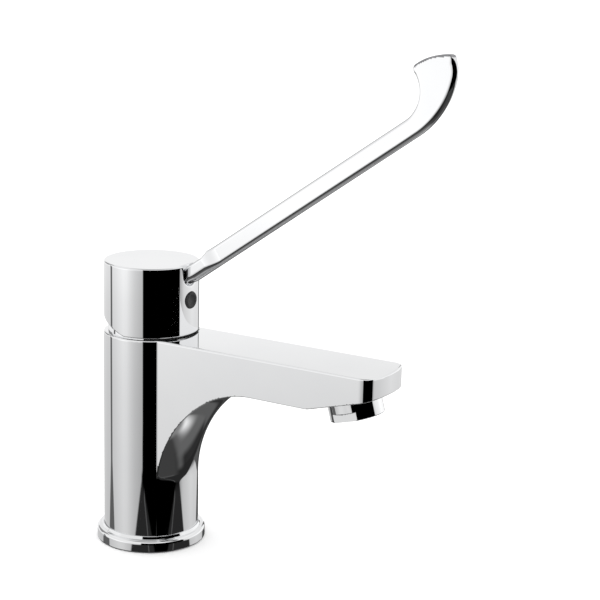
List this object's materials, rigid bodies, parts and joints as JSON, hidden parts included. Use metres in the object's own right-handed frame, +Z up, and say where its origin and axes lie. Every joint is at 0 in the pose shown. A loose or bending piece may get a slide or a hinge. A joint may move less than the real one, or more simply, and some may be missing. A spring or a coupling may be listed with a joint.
{
  "type": "elbow lever basin tap",
  "caption": "Chromed single-lever basin mixer tap: round column, flat arched spout with aerator, and a swivelling cap with a long hooked elbow lever.",
  "frame": {"origin": "on the column's axis, in the plane of the basin deck that the base seal meets", "axes": "+Z up along the column, +X along the spout and the lever, +Y to the left seen from the spout's rear"},
  "size_m": [0.1825, 0.0528, 0.246],
  "materials": {
    "chrome": "mirror polished",
    "rubber": "matte",
    "brass": "machined",
    "steel": "machined",
    "white_plastic": "satin",
    "grey_plastic": "satin",
    "disc": "lapped",
    "plug": "satin"
  },
  "bodies": {
    "tap": {"tap_body": "chrome", "base_ring": "chrome", "base_seal": "rubber", "inlet_manifold": "brass", "manifold_seals": "rubber", "manifold_clip": "steel", "cartridge_base": "white_plastic", "port_seals": "rubber", "disc_gasket": "rubber", "fixed_disc": "disc", "cartridge_housing": "white_plastic", "housing_seal": "rubber", "clamp_nut": "brass", "cover_ring": "chrome", "aerator_housing": "chrome", "aerator_gasket": "rubber", "aerator_insert": "white_plastic", "aerator_screen": "steel"},
    "turret": {"spindle_guide": "grey_plastic", "pivot_pin": "steel"},
    "handle": {"spindle": "steel", "cap_shell": "chrome", "lever_arm": "chrome", "lever_pin": "steel", "set_screw": "steel", "cover_plug": "plug"},
    "slider": {"disc_carrier": "grey_plastic", "moving_disc": "disc"}
  },
  "joints": [
    {"name": "temperature_swivel", "type": "hinge", "parent": "tap", "child": "turret", "pos_m": [0, 0, 0.104], "axis": [0, 0, 1], "range_deg": [-45, 45]},
    {"name": "flow_tilt", "type": "hinge", "parent": "turret", "child": "handle", "pos_m": [0, 0, 0.104], "axis": [0, -1, 0], "range_deg": [0, 18]},
    {"name": "disc_slide", "type": "slide", "parent": "turret", "child": "slider", "axis": [1, 0, 0], "range_m": [0, 0.005]}
  ],
  "couplings": [
    {"joint": "disc_slide", "follows": "flow_tilt", "m_per_rad": 0.015}
  ]
}
